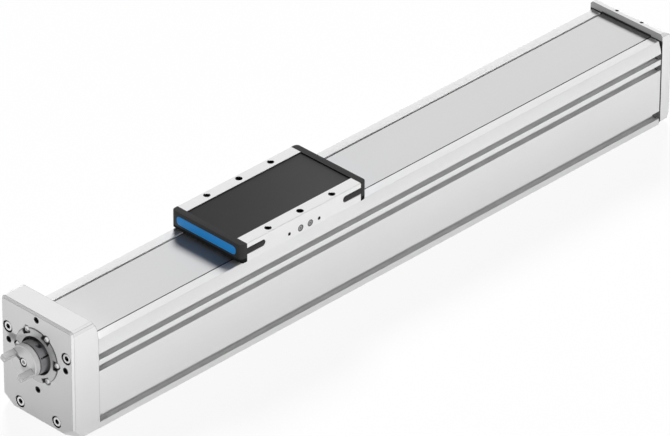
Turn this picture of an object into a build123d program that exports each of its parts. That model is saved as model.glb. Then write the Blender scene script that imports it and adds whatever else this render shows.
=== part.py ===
"""Ball screw linear axis: profile, guided carriage, cover band, ball screw and two-claw drive hub.

Sizes are in millimetres. X runs from the drive end to the rear end, Y across, Z up. The origin is the middle
of the profile's bottom face.
"""
import os

from build123d import *

# General
SEAT = 0.1            # radial play of a screw or bearing in its hole
RUN = 0.3             # free gap beside anything that slides or turns
BEVEL = 0.8           # small broken edge

# Profile
profile_length = 956.0
profile_width = 120.0
profile_height = 118.0
shoulder_width = 111.0          # across the two light strips on top
taper_height = 15.4             # height over which the sides lean in to the strips
opening_width = 69.0            # slot in the top for the carriage
lip_depth = 15.0
upper_wall = 17.0               # side wall beside the narrow slots
lower_wall = 6.5
floor_thickness = 26.0
wall_step_height = 72.0         # where the side wall changes thickness
slot_mouth = 8.0
slot_lip = 4.0
slot_undercut = 13.0
slot_depth = 10.5
side_slot_heights = (97.6, 82.2)
groove_mouth = 10.6
groove_undercut = 14.6
groove_height = 14.0
bottom_slot_offset = 19.0

# Cover band
band_width = 82.0
band_thickness = 0.4
band_side_gap = 1.2
band_recess = 1.2               # how far the band's seat lies below the strips
band_lift = 1.0                 # band above the saddle that it crosses
band_ramp_length = 34.0
magnet_width = 4.5
magnet_depth = 1.5
magnet_inset = 1.0
band_hold = 5.0                 # length of band held in each end cap
rear_hold = 9.0
clamp_bar_height = 3.0

# Front cap
front_cap_height = 148.0
front_cap_thickness = 41.0
cap_top_depth = 33.5
cap_shoulder_drop = 10.5
cap_back_drop = 26.0
cap_corner = 5.0
cap_foot_y = 18.0
cap_foot_z = 12.0
cap_lift = 1.0                  # the caps stop just above the mounting face
cap_bevel = 2.7
cap_screw_y = (48.8, 30.6)      # upper and lower screws
cap_screw_z = (109.1, 14.1)
cap_screw_radius = 4.0
cap_counterbore = 7.6
cap_screw_bite = 18.0           # thread length in the profile
motor_hole_circle = 95.0
motor_hole_radius = 3.4
motor_hole_depth = 18.0
pin_hole_y = 36.3
pin_hole_radius = 2.0
pin_hole_depth = 8.0

# Bearing flange
flange_radius = 34.5
flange_inner_radius = 24.5
flange_seat_depth = 10.0
flange_stand = 2.0
flange_lip = 3.0
flange_screw_circle = 65.0
flange_screw_count = 6
flange_screw_radius = 2.5
flange_screw_bite = 9.0
flange_pocket_radius = 5.4
flange_pocket_depth = 5.5
flange_notch_width = 13.0
flange_notch_inner = 28.2      # from the axis to the flat wall of a notch

# Ball screw and bearings
spindle_height = 92.2
spindle_radius = 12.5
front_seat_radius = 10.0
drive_journal_radius = 8.0
rear_journal_radius = 7.5
front_bearing_radius = 23.5
front_bearing_width = 28.0
rear_bearing_radius = 17.5
rear_bearing_width = 11.0
race_thickness = 4.0
lock_nut_radius = 15.5
lock_nut_width = 5.0

# Drive hub
hub_stand = 22.0                # hub face out of the cap face
hub_face_radius = 20.3
hub_radius = 21.2
hub_disc_length = 8.0
hub_groove = 0.8
claw_length = 19.0
claw_width = 7.5
claw_inner_radius = 12.0
claw_angle = 28.0
hub_recess_radius = 5.8
hub_recess_depth = 6.5
hub_groove_width = 4.0          # groove in the hub's face, from the recess to one claw
hub_groove_depth = 3.0
centre_screw_radius = 3.0
centre_screw_bite = 12.0
clamp_slot = 2.0
clamp_turn = 65.0
clamp_head = 3.7
clamp_thread = 2.0
clamp_offset = 14.2
clamp_reach = 14.0
clamp_seat = 4.5
clamp_grip = 7.0
clamp_back = 9.0

# Rear cap
rear_cap_height = 127.5
rear_cap_thickness = 16.0
rear_cap_round = 10.0
rear_cap_corner = 3.0
gasket_thickness = 1.5
set_screw_offset = 20.6
set_screw_back = 5.6
set_screw_radius = 2.0

# Guide
rail_width = 23.0
rail_height = 20.0
rail_end_gap = 2.0
rail_screw_pitch = 236.0
rail_screw_radius = 3.0
rail_screw_bite = 11.0
block_width = 62.0
block_length = 80.0
block_pitch = 104.0
block_clear = 6.0               # block's underside above the rail's seat
block_height = 36.0             # block's top above the rail's seat
block_screw_radius = 3.0
block_screw_bite = 9.0
block_bolt_x = 14.0
block_bolt_y = 22.5
buffer_radius = 7.0
buffer_length = 32.0            # the stroke is what the buffers and the guide blocks leave of the profile
buffer_offset = 21.5

# Carriage
carriage_at = -142.5            # where the carriage stands at rest
carriage_length = 189.0
carriage_width = 117.0
carriage_top = 144.0
carriage_gap = 1.0              # carriage above the profile
saddle_length = 116.0
saddle_thickness = 6.6
web_thickness = 5.0
web_gap = 1.5
foot_thickness = 6.2
insert_width = 84.0
insert_thickness = 10.0
insert_ledge = 0.6
carriage_hole_x = 53.0
carriage_hole_y = 51.0
carriage_thread_radius = 3.4
carriage_thread_depth = 16.0
centring_radius = 4.5
centring_depth = 9.0
end_cap_thickness = 10.0
end_cap_chamfer = 4.0
end_cap_round = 6.0             # upright front corners
arm_length = 30.0
arm_height = 8.6
arm_depth = 3.0
arm_at = 133.4
bar_length = 99.0
bar_height = 12.0
bar_depth = 2.0
bar_at = 133.4
wiper_thickness = 4.0
wiper_height = 3.6
nipple_at = (-6.3, 9.7)
nipple_height = 126.3
nipple_radius = 3.0
plug_at = (-25.0, 24.5)
plug_radius = 1.6

# Ball nut
nut_radius = 19.0
nut_length = 58.0
nut_flange_radius = 27.0
nut_flange_width = 10.0
nut_flange_flat = 23.2          # half height between the flange's flats
nut_screw_circle = 46.0
nut_screw_count = 4
nut_screw_radius = 2.5
nut_screw_bite = 10.0
housing_length = 36.0

# Places worked out from the sizes
half_length = profile_length / 2
half_width = profile_width / 2
top = profile_height
front_x = -half_length - front_cap_thickness
rear_x = half_length + gasket_thickness
band_z = top - band_recess
band_half = band_width / 2
recess_half = band_half + band_side_gap
opening_half = opening_width / 2
cavity_low = half_width - lower_wall
cavity_high = half_width - upper_wall
lip_z = top - lip_depth
rail_z = floor_thickness
block_top = rail_z + block_height
web_outer = opening_half - web_gap
web_inner = web_outer - web_thickness
carriage_z = top + carriage_gap
saddle_z = carriage_z + saddle_thickness
insert_z = carriage_top - insert_thickness
insert_half = insert_width / 2
channel_half = insert_half - insert_ledge
carriage_half = carriage_length / 2
side_y = carriage_width / 2
hub_x = front_x - hub_stand
flange_back = front_x + flange_seat_depth
block_reach = (block_pitch + block_length) / 2


# Helpers
def box(x, y, z):
    """Solid box between pairs of limits."""
    size = [b - a for a, b in (x, y, z)]
    return Pos(*[(a + b) / 2 for a, b in (x, y, z)]) * Box(*size)


def rod(radius, x0, x1, y=0.0, z=0.0):
    """Solid cylinder along X."""
    return Pos((x0 + x1) / 2, y, z) * Rot(0, 90, 0) * Cylinder(radius, x1 - x0)


def post(radius, z0, z1, x=0.0, y=0.0):
    """Solid cylinder along Z."""
    return Pos(x, y, (z0 + z1) / 2) * Cylinder(radius, z1 - z0)


def spindle_rod(radius, x0, x1):
    return rod(radius, x0, x1, 0, spindle_height)


def tube(outer, inner, x0, x1):
    """Ring round the spindle's axis."""
    return spindle_rod(outer, x0, x1) - spindle_rod(inner, x0 - 1, x1 + 1)


def outline(points, plane):
    """Face from a closed list of points in a plane."""
    return plane * make_face(Polyline(points, close=True))


def across(points, width):
    """Side view outline (X, Z) carried across the width."""
    return extrude(outline(points, Plane.XZ), width / 2, both=True)


def along(points, x0, x1):
    """End view outline (Y, Z) carried along the axis."""
    return extrude(outline(points, Plane.YZ.offset(x0)), x1 - x0)


def both_sides(shape):
    return shape + mirror(shape, Plane.XZ)


def mirrored(points):
    """Half outline (Y, Z) closed with its mirror image."""
    return points + [(-y, z) for y, z in reversed(points) if y]


def group(solids):
    return Compound(children=list(solids))


def about(x):
    """Mirror of a shape from one end of the carriage to the other."""
    return Plane.YZ.offset(x)


def socket_screw(thread, length, socket=True):
    """Cap screw along +X with its head's seat at X = 0."""
    head = rod(1.6 * thread, -2 * thread, 0)
    if socket:
        key = extrude(Plane.YZ.offset(-2 * thread) * RegularPolygon(0.9 * thread, 6), 1.1 * thread)
        head -= key
    return head + rod(thread, 0, length)


def screw_down(thread, length):
    """Cap screw along -Z with its head's seat at Z = 0."""
    return post(1.6 * thread, 0, 2 * thread) + post(thread, -length, 0)


def cap_places():
    return [(s * y, z) for y, z in zip(cap_screw_y, cap_screw_z) for s in (-1, 1)]


# Profile
def slot(mouth, undercut):
    """T slot that opens at Z = 0 and runs down, in the end view."""
    w, u, d = mouth / 2, undercut / 2, slot_depth
    return [(w, 1), (w, -slot_lip), (u, -slot_lip), (u, 1.5 - d), (u - 1.5, -d)]


def slot_cutter(mouth, undercut, y, z, turn):
    shape = make_face(Polyline(mirrored(slot(mouth, undercut)), close=True))
    return extrude(Plane.YZ.offset(-half_length) * Pos(y, z) * Rot(0, 0, turn) * shape, profile_length)


def make_profile():
    shoulder = shoulder_width / 2
    lean = half_width - shoulder
    body = along(mirrored([
        (half_width - BEVEL, 0), (half_width, BEVEL), (half_width, top - taper_height),
        (half_width - 0.3 * lean, top - 0.55 * taper_height), (shoulder, top),
        (recess_half, top), (recess_half, band_z)]), -half_length, half_length)
    step = cavity_low - cavity_high
    cavity = mirrored([
        (opening_half, top + 1), (opening_half, lip_z + 4), (opening_half + 2, lip_z), (cavity_high, lip_z),
        (cavity_high, wall_step_height + step), (cavity_low, wall_step_height),
        (cavity_low, rail_z + 4), (cavity_low - 4, rail_z)])
    body -= along(cavity, -half_length, half_length)
    for z in side_slot_heights:
        body -= both_sides(slot_cutter(slot_mouth, slot_undercut, half_width, z, -90))
    body -= both_sides(slot_cutter(groove_mouth, groove_undercut, half_width, groove_height, -90))
    body -= both_sides(slot_cutter(slot_mouth, slot_undercut, bottom_slot_offset, 0, 180))
    inner = opening_half + magnet_inset
    seat = box((-half_length, half_length), (inner, inner + magnet_width), (band_z - magnet_depth, band_z))
    body -= both_sides(seat)
    for y, z in cap_places():
        for x in (-half_length, half_length - cap_screw_bite):
            body -= rod(cap_screw_radius + SEAT, x, x + cap_screw_bite, y, z)
    for x in rail_screw_places():
        body -= post(rail_screw_radius + SEAT, rail_z - rail_screw_bite, rail_z, x)
    return body


def make_magnets():
    inner = opening_half + magnet_inset
    return box((-half_length, half_length), (inner, inner + magnet_width), (band_z - magnet_depth, band_z))


# Front cap
def make_front_cap():
    x0, x1 = front_x, -half_length
    side = across([
        (x0, cap_lift), (x0, front_cap_height), (x0 + cap_top_depth, front_cap_height),
        (x1 - 0.35 * (front_cap_thickness - cap_top_depth), front_cap_height - cap_shoulder_drop),
        (x1, front_cap_height - cap_back_drop), (x1, cap_lift)], profile_width)
    w, h, c = profile_width / 2, front_cap_height, cap_corner
    front = along(mirrored([
        (w - cap_foot_y, cap_lift), (w, cap_lift + cap_foot_z), (w, h - c), (w - 0.3 * c, h - 0.3 * c),
        (w - c, h)]), x0, x1)
    cap = side & front
    cap = chamfer(cap.faces().sort_by(Axis.X)[0].edges(), cap_bevel)
    cap -= spindle_rod(flange_radius + SEAT, x0, flange_back)
    cap -= spindle_rod(front_bearing_radius + SEAT, x0, flange_back + front_bearing_width)
    cap -= spindle_rod(spindle_radius + 3.5, x0, x1)
    for y, z in cap_places():
        cap -= rod(cap_screw_radius + SEAT, x0, x1, y, z)
        cap -= rod(cap_counterbore, x0, x0 + 2 * cap_screw_radius + 0.5, y, z)
    for y, z in circle(motor_hole_circle, 4):
        cap -= rod(motor_hole_radius, x0, x0 + motor_hole_depth, y, z)
    for y, z in circle(flange_screw_circle, flange_screw_count):
        cap -= rod(flange_pocket_radius, x0, x0 + flange_pocket_depth - flange_stand, y, z)
        cap -= rod(flange_screw_radius + SEAT, x0, flange_back + flange_screw_bite, y, z)
    cap -= rod(pin_hole_radius, x0, x0 + pin_hole_depth, pin_hole_y, spindle_height)
    cap -= band_pocket(x1 - band_hold, x1)
    return cap


def circle(diameter, count, start=0.0):
    """Hole places (Y, Z) on a circle round the spindle."""
    return [(p.position.X, p.position.Y + spindle_height)
            for p in PolarLocations(diameter / 2, count, start_angle=start)]


def band_pocket(x0, x1):
    return box((x0, x1), (-band_half - SEAT, band_half + SEAT), (band_z, band_z + band_thickness + clamp_bar_height))


def make_band_clamp(x0, x1):
    low = band_z + band_thickness
    return box((x0, x1), (-band_half, band_half), (low, low + clamp_bar_height))


def make_flange():
    x0 = front_x - flange_stand
    ring = tube(flange_radius, flange_inner_radius, x0, flange_back)
    ring += tube(flange_inner_radius + 1, front_bearing_radius - race_thickness, flange_back - flange_lip, flange_back)
    notch = box((x0, x0 + flange_pocket_depth), (flange_notch_inner, flange_radius + 1),
                (-flange_notch_width / 2, flange_notch_width / 2))
    for i in range(flange_screw_count):
        ring -= Pos(0, 0, spindle_height) * Rot(i * 360 / flange_screw_count, 0, 0) * notch
    for y, z in circle(flange_screw_circle, flange_screw_count):
        ring -= rod(flange_screw_radius + SEAT, x0, flange_back, y, z)
    return ring


def make_flange_screws():
    seat = front_x - flange_stand + flange_pocket_depth
    length = flange_back - seat + flange_screw_bite
    return group(Pos(seat, y, z) * socket_screw(flange_screw_radius, length)
                 for y, z in circle(flange_screw_circle, flange_screw_count))


# Rear cap
def make_rear_cap():
    x0, x1, h, r = rear_x, rear_x + rear_cap_thickness, rear_cap_height, rear_cap_round
    side = across([
        (x0, cap_lift), (x0, h), (x1 - r, h), (x1 - 0.3 * r, h - 0.3 * r), (x1, h - r),
        (x1, cap_lift + r), (x1 - 0.3 * r, cap_lift + 0.3 * r), (x1 - r, cap_lift)], profile_width)
    w, c = profile_width / 2, rear_cap_corner
    front = along(mirrored([(w - c, cap_lift), (w, cap_lift + c), (w, h - c), (w - c, h)]), x0, x1)
    cap = side & front
    cap -= spindle_rod(rear_bearing_radius + SEAT, x0, x0 + rear_bearing_width)
    cap -= spindle_rod(rear_journal_radius + 2, x0, x0 + rear_bearing_width + 2)
    for y, z in cap_places():
        cap -= rod(cap_screw_radius + SEAT, x0, x1, y, z)
        cap -= rod(cap_counterbore, x1 - 2 * cap_screw_radius - 0.5, x1, y, z)
    for y in (-set_screw_offset, set_screw_offset):
        cap -= post(set_screw_radius + SEAT, band_z, h, x0 + set_screw_back, y)
    cap -= band_pocket(x0, x0 + rear_hold)
    return cap


def make_set_screws():
    low = band_z + band_thickness + clamp_bar_height
    return group(post(set_screw_radius, low, rear_cap_height - 2, rear_x + set_screw_back, y)
                 for y in (-set_screw_offset, set_screw_offset))


def make_gasket():
    """Seal between profile and rear cap, a little inside the profile's outline."""
    inset = 0.6
    shoulder = shoulder_width / 2
    sheet = along(mirrored([
        (half_width - inset, cap_lift + inset), (half_width - inset, top - taper_height),
        (shoulder - inset, band_z)]), half_length, rear_x)
    sheet -= along(mirrored([
        (opening_half, band_z + 1), (opening_half, lip_z), (cavity_high, lip_z),
        (cavity_high, rail_z), (0, rail_z)]), half_length, rear_x)
    for y, z in cap_places():
        sheet -= rod(cap_screw_radius + SEAT, half_length, rear_x, y, z)
    return sheet


def cap_screws(seat, sign, bite):
    """Four cap screws; sign is the way they point along X."""
    return group(Pos(seat, y, z) * Rot(0, 0, 0 if sign > 0 else 180) * socket_screw(cap_screw_radius, bite)
                 for y, z in cap_places())


# Ball screw
def make_ball_screw():
    shoulder = flange_back + front_bearing_width
    rear = half_length + gasket_thickness
    screw = spindle_rod(spindle_radius, shoulder, rear - 1)
    screw += spindle_rod(front_seat_radius, flange_back - lock_nut_width, shoulder)
    screw += spindle_rod(drive_journal_radius, hub_x + hub_disc_length, flange_back)
    screw += spindle_rod(rear_journal_radius, rear - 2, rear + rear_bearing_width + 1)
    end = hub_x + hub_disc_length
    return screw - spindle_rod(centre_screw_radius + SEAT, end, end + centre_screw_bite)


def race(bore, outer, inner_race, x0, x1):
    if inner_race:
        return tube(bore + race_thickness, bore + SEAT / 10, x0, x1)
    return tube(outer, bore + race_thickness + 1, x0, x1)


# Drive hub
def make_hub():
    x0, x1 = hub_x, hub_x + hub_disc_length
    disc = spindle_rod(hub_radius, x0, x1)
    edge = disc.faces().sort_by(Axis.X)[0].edges()
    disc = chamfer(edge, hub_radius - hub_face_radius)
    arm = box((x0 - claw_length, x0 + 1), (claw_inner_radius, hub_face_radius + 1), (-claw_width / 2, claw_width / 2))
    arm &= rod(hub_face_radius - 0.2, x0 - claw_length, x0 + 1)
    arm = chamfer(arm.faces().sort_by(Axis.X)[0].edges(), 1.0)
    for turn in (claw_angle, claw_angle + 180):
        disc += Pos(0, 0, spindle_height) * Rot(turn, 0, 0) * arm
    groove = box((x0, x0 + hub_groove_depth), (0, claw_inner_radius), (-hub_groove_width / 2, hub_groove_width / 2))
    disc -= Pos(0, 0, spindle_height) * Rot(claw_angle, 0, 0) * groove
    disc -= spindle_rod(hub_recess_radius, x0, x0 + hub_recess_depth)
    return disc - spindle_rod(centre_screw_radius + SEAT, x0, x1)


def make_collar():
    x0, x1 = hub_x + hub_disc_length, flange_back - lock_nut_width
    collar = tube(hub_radius, drive_journal_radius + SEAT / 10, x0, x1)
    collar -= tube(hub_radius + 1, hub_radius - 1, x0, x0 + hub_groove)
    collar -= box((x0 + hub_groove + 2, x1), (-clamp_slot / 2, clamp_slot / 2),
                  (spindle_height + drive_journal_radius, spindle_height + hub_radius))
    collar = Pos(0, 0, spindle_height) * Rot(clamp_turn, 0, 0) * Pos(0, 0, -spindle_height) * collar
    return collar - clamp_tool(clamp_head + 0.3, clamp_reach + 1) - clamp_tool(clamp_thread + SEAT, -clamp_grip)


def clamp_tool(radius, reach):
    """Cylinder along the clamp screw, from its seat to a reach on either side."""
    low, high = sorted((clamp_seat, reach)) if reach > 0 else (reach, clamp_seat)
    shape = Rot(90, 0, 0) * Cylinder(radius, high - low)
    shape = Pos(hub_x + hub_disc_length + clamp_back, (low + high) / 2, clamp_offset) * shape
    return Pos(0, 0, spindle_height) * Rot(clamp_turn, 0, 0) * shape


def make_clamp_screw():
    return clamp_tool(clamp_head, clamp_seat + 4) + clamp_tool(clamp_thread, -clamp_grip)


def make_centre_screw():
    length = hub_disc_length - hub_recess_depth + centre_screw_bite
    return Pos(hub_x + hub_recess_depth, 0, spindle_height) * socket_screw(centre_screw_radius, length)


# Guide
def rail_screw_places():
    count = int((profile_length - 60) // rail_screw_pitch)
    start = -count * rail_screw_pitch / 2
    return [start + i * rail_screw_pitch for i in range(count + 1)]


def make_rail():
    w, z0, z1 = rail_width / 2, rail_z, rail_z + rail_height
    waist = w - 2.2
    reach = half_length - rail_end_gap
    rail = along(mirrored([(w, z0), (w, z0 + 7), (waist, z0 + 9.5), (waist, z1 - 6), (w, z1 - 3.5), (w, z1 - 1), (w - 1, z1)]),
                 -reach, reach)
    for x in rail_screw_places():
        rail -= post(rail_screw_radius + SEAT, z0, z1, x)
        rail -= post(1.6 * rail_screw_radius + 0.3, z1 - 2 * rail_screw_radius - 1, z1, x)
    return rail


def make_rail_screws():
    seat = rail_z + rail_height - 2 * rail_screw_radius - 1
    return group(Pos(x, 0, seat) * screw_down(rail_screw_radius, seat - rail_z + rail_screw_bite)
                 for x in rail_screw_places())


def make_guide_block(centre):
    w, z0 = block_width / 2, rail_z + block_clear
    x0, x1 = centre - block_length / 2, centre + block_length / 2
    g = rail_width / 2 + RUN
    waist = g - 2.2
    base, crown = rail_z, rail_z + rail_height
    block = along(mirrored([
        (g, z0), (w, z0), (w, block_top), (0, block_top)]), x0, x1)
    way = mirrored([
        (g, z0 - 1), (g, base + 7), (waist, base + 9.5), (waist, crown - 6), (g, crown - 3.5), (g, crown + RUN)])
    block -= along(way, x0, x1)
    for x, y in block_bolt_places(centre):
        block -= post(block_screw_radius + SEAT, block_top - block_screw_bite, block_top, x, y)
    return block


def block_bolt_places(centre):
    return [(centre + i * block_bolt_x, i * block_bolt_y) for i in (-1, 1)]


def block_centres():
    return [carriage_at - block_pitch / 2, carriage_at + block_pitch / 2]


# Carriage
def make_carriage():
    c = carriage_at
    x0, x1 = c - carriage_half, c + carriage_half
    s0, s1 = c - saddle_length / 2, c + saddle_length / 2
    wall = along([
        (channel_half, carriage_z), (side_y - BEVEL, carriage_z), (side_y, carriage_z + BEVEL),
        (side_y, carriage_top - BEVEL), (side_y - BEVEL, carriage_top), (insert_half + SEAT, carriage_top),
        (insert_half + SEAT, insert_z), (channel_half, insert_z)], x0, x1)
    body = both_sides(wall)
    body += box((s0, s1), (-channel_half - 1, channel_half + 1), (carriage_z, saddle_z))
    web = box((s0, s1), (web_inner, web_outer), (block_top, saddle_z))
    body += both_sides(web)
    body += box((c - block_reach, c + block_reach), (-web_outer, web_outer), (block_top, block_top + foot_thickness))
    for i in (-1, 0, 1):
        for y in (-carriage_hole_y, carriage_hole_y):
            radius, depth = (carriage_thread_radius, carriage_thread_depth) if i else (centring_radius, centring_depth)
            body -= post(radius, carriage_top - depth, carriage_top, c + i * carriage_hole_x, y)
    for centre in block_centres():
        for x, y in block_bolt_places(centre):
            body -= post(block_screw_radius + SEAT, block_top, block_top + foot_thickness, x, y)
    for end in (-1, 1):
        body -= both_sides(arm(end, SEAT))
        body -= both_sides(box(sorted((c + end * (carriage_half + 1), c + end * (carriage_half - 1))),
                               (side_y - arm_depth - SEAT, side_y + 1),
                               (arm_at - arm_height / 2 - SEAT, arm_at + arm_height / 2 + SEAT)))
    for dx in nipple_at:
        body -= both_sides(side_pin(nipple_radius + SEAT, 8.0 + SEAT, c + dx))
    for dx in plug_at:
        body -= both_sides(side_pin(plug_radius, 4.0, c + dx))
    return body


def side_pin(radius, depth, x):
    """Cylinder going into the carriage's side from its face."""
    return Pos(x, side_y - depth / 2, nipple_height) * Rot(90, 0, 0) * Cylinder(radius, depth)


def arm(end, play=0.0):
    """End cap's arm in the side of the carriage, with a round tip."""
    r = arm_height / 2 + play
    inner = side_y - arm_depth - play
    x0 = carriage_at + end * carriage_half
    tip = x0 - end * (arm_length - arm_height / 2)
    shape = box(sorted((x0, tip)), (inner, side_y), (arm_at - r, arm_at + r))
    return shape + Pos(tip, (inner + side_y) / 2, arm_at) * Rot(90, 0, 0) * Cylinder(r, side_y - inner)


def make_insert():
    reach = carriage_half
    plate = box((carriage_at - reach, carriage_at + reach), (-insert_half, insert_half), (insert_z, carriage_top))
    return plate


def make_end_cap():
    """Front end cap; the rear one is its mirror image."""
    x1 = carriage_at - carriage_half
    x0 = x1 - end_cap_thickness
    k = end_cap_chamfer
    cap = along(mirrored([
        (side_y, carriage_z), (side_y, carriage_top - k), (side_y - k, carriage_top)]), x0, x1)
    cap = chamfer(cap.edges().filter_by(Axis.Y).filter_by(lambda e: e.center().Z > carriage_top - 1
                                                          and e.center().X < x0 + 1), 2.0)
    cap = fillet(cap.edges().filter_by(Axis.Z).filter_by(lambda e: e.center().X < x0 + 1), end_cap_round)
    cap -= bar_shape(x0, bar_depth, SEAT)
    cap -= wiper_shape(SEAT)
    return cap + both_sides(arm(-1))


def bar_shape(x0, depth, play=0.0):
    """Round-ended bar across the front of the end cap."""
    bar = Plane.YZ.offset(x0) * Pos(0, bar_at) * SlotOverall(bar_length + 2 * play, bar_height + 2 * play)
    return extrude(bar, depth)


def make_bar():
    return bar_shape(carriage_at - carriage_half - end_cap_thickness - 0.4, bar_depth + 0.4)


def wiper_shape(play=0.0):
    x = carriage_at - carriage_half - end_cap_thickness / 2
    low = band_z + band_thickness + RUN
    return box((x - wiper_thickness / 2 - play, x + wiper_thickness / 2 + play),
               (-band_half - play, band_half + play), (low - play, low + wiper_height + play))


def make_ramp():
    """Plastic ramp that lifts the band onto the saddle; it fills the space below the band."""
    x1 = carriage_at - saddle_length / 2
    below = [(x, z - RUN) for x, z in band_path() if x <= x1]
    wedge = across(below + [(x1, below[-1][1]), (x1, band_z - 1), (below[0][0], band_z - 1)], 2 * (channel_half - RUN))
    return wedge & box((carriage_at - carriage_half, x1), (-side_y, side_y), (carriage_z, saddle_z))


def make_nipples():
    c = carriage_at
    shapes = []
    for dx in nipple_at:
        pin = side_pin(nipple_radius, 8.0, c + dx)
        shapes += [pin, mirror(pin, Plane.XZ)]
    return group(shapes)


def make_housing():
    c = carriage_at
    block = box((c - housing_length / 2, c + housing_length / 2), (-web_inner, web_inner),
                (block_top + foot_thickness, carriage_z))
    block -= spindle_rod(nut_radius + SEAT, c - housing_length, c + housing_length)
    for y, z in circle(nut_screw_circle, nut_screw_count, 45):
        block -= rod(nut_screw_radius + SEAT, c - housing_length / 2, c - housing_length / 2 + nut_screw_bite, y, z)
    return block


def make_nut():
    x1 = carriage_at - housing_length / 2
    x0 = x1 - nut_flange_width
    low, high = spindle_height - nut_flange_flat, spindle_height + nut_flange_flat
    nut = spindle_rod(nut_flange_radius, x0, x1) & box((x0, x1), (-nut_flange_radius, nut_flange_radius), (low, high))
    nut += spindle_rod(nut_radius, x1, x1 + nut_length - nut_flange_width)
    nut -= spindle_rod(spindle_radius + RUN, x0, x1 + nut_length)
    for y, z in circle(nut_screw_circle, nut_screw_count, 45):
        nut -= rod(nut_screw_radius + SEAT, x0, x1, y, z)
    return nut


def make_nut_screws():
    seat = carriage_at - housing_length / 2 - nut_flange_width
    return group(Pos(seat, y, z) * socket_screw(nut_screw_radius, nut_flange_width + nut_screw_bite, False)
                 for y, z in circle(nut_screw_circle, nut_screw_count, 45))


def make_block_screws():
    seat = block_top + foot_thickness
    return group(Pos(x, y, seat) * screw_down(block_screw_radius, foot_thickness + block_screw_bite)
                 for centre in block_centres() for x, y in block_bolt_places(centre))


# Cover band, lifted where it passes through the carriage
def band_path():
    """Underside of the band from end to end: flat, up the ramp, over the saddle and down again."""
    flat = saddle_length / 2 + 2
    foot = flat + band_ramp_length
    rise = saddle_z + band_lift - band_z
    soft = band_ramp_length / 4
    half = [(foot, 0.0), (foot - soft, 0.1 * rise), (flat + soft, 0.9 * rise), (flat, rise)]
    middle = [(carriage_at - x, band_z + z) for x, z in half] + [(carriage_at + x, band_z + z) for x, z in reversed(half)]
    return [(-half_length - band_hold, band_z)] + middle + [(rear_x + rear_hold, band_z)]


def make_band():
    low = band_path()
    return across(low + [(x, z + band_thickness) for x, z in reversed(low)], band_width)


def make_buffers(x0, x1):
    y, z = buffer_offset, block_top - buffer_radius - 1
    return group(rod(buffer_radius, x0, x1, s * y, z) for s in (-1, 1))


def build():
    front_seat = front_x + 2 * cap_screw_radius + 0.5
    rear_seat = rear_x + rear_cap_thickness - 2 * cap_screw_radius - 0.5
    bearing_end = flange_back + front_bearing_width
    rear_bearing = (rear_x, rear_x + rear_bearing_width)
    middle = about(carriage_at)
    end_cap, bar, wiper, ramp = make_end_cap(), make_bar(), wiper_shape(), make_ramp()
    magnet = make_magnets()
    return {
        "profile": make_profile(),
        "front_cap": make_front_cap(),
        "front_cap_screws": cap_screws(front_seat, 1, -half_length - front_seat + cap_screw_bite),
        "bearing_flange": make_flange(),
        "bearing_flange_screws": make_flange_screws(),
        "front_bearing_outer": race(front_seat_radius, front_bearing_radius, False, flange_back, bearing_end),
        "rear_cap": make_rear_cap(),
        "rear_cap_screws": cap_screws(rear_seat, -1, rear_seat - half_length + cap_screw_bite),
        "rear_gasket": make_gasket(),
        "rear_bearing_outer": race(rear_journal_radius, rear_bearing_radius, False, *rear_bearing),
        "band_set_screws": make_set_screws(),
        "guide_rail": make_rail(),
        "rail_screws": make_rail_screws(),
        "magnet_strip_left": magnet,
        "magnet_strip_right": mirror(magnet, Plane.XZ),
        "cover_band": make_band(),
        "band_clamp_front": make_band_clamp(-half_length - band_hold, -half_length),
        "band_clamp_rear": make_band_clamp(rear_x, rear_x + rear_hold),
        "front_buffers": make_buffers(-half_length, -half_length + buffer_length),
        "rear_buffers": make_buffers(half_length - buffer_length, rear_x),
        "ball_screw": make_ball_screw(),
        "front_bearing_inner": race(front_seat_radius, 0, True, flange_back, bearing_end),
        "rear_bearing_inner": race(rear_journal_radius, 0, True, *rear_bearing),
        "lock_nut": tube(lock_nut_radius, front_seat_radius + SEAT / 10, flange_back - lock_nut_width, flange_back),
        "coupling_hub": make_hub(),
        "clamp_collar": make_collar(),
        "clamp_screw": make_clamp_screw(),
        "centre_screw": make_centre_screw(),
        "carriage_body": make_carriage(),
        "carriage_cover": make_insert(),
        "end_cap_front": end_cap,
        "end_cap_rear": mirror(end_cap, middle),
        "accent_bar_front": bar,
        "accent_bar_rear": mirror(bar, middle),
        "wiper_front": wiper,
        "wiper_rear": mirror(wiper, middle),
        "band_ramp_front": ramp,
        "band_ramp_rear": mirror(ramp, middle),
        "guide_block_front": make_guide_block(block_centres()[0]),
        "guide_block_rear": make_guide_block(block_centres()[1]),
        "guide_block_screws": make_block_screws(),
        "nut_housing": make_housing(),
        "ball_nut": make_nut(),
        "nut_screws": make_nut_screws(),
        "grease_nipples": make_nipples(),
    }


os.makedirs("parts", exist_ok=True)
for name, shape in build().items():
    export_step(shape, f"parts/{name}.step")
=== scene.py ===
"""Looks of the ball screw linear axis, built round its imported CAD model.

Shapes are worked out in millimetres. Settings, the sizes of noise and edges, and the meshes are in metres.
"""

import math

import bmesh
import bpy
import numpy as np
from bpy.props import FloatProperty, FloatVectorProperty, PointerProperty
from mathutils import Matrix, Vector


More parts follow.
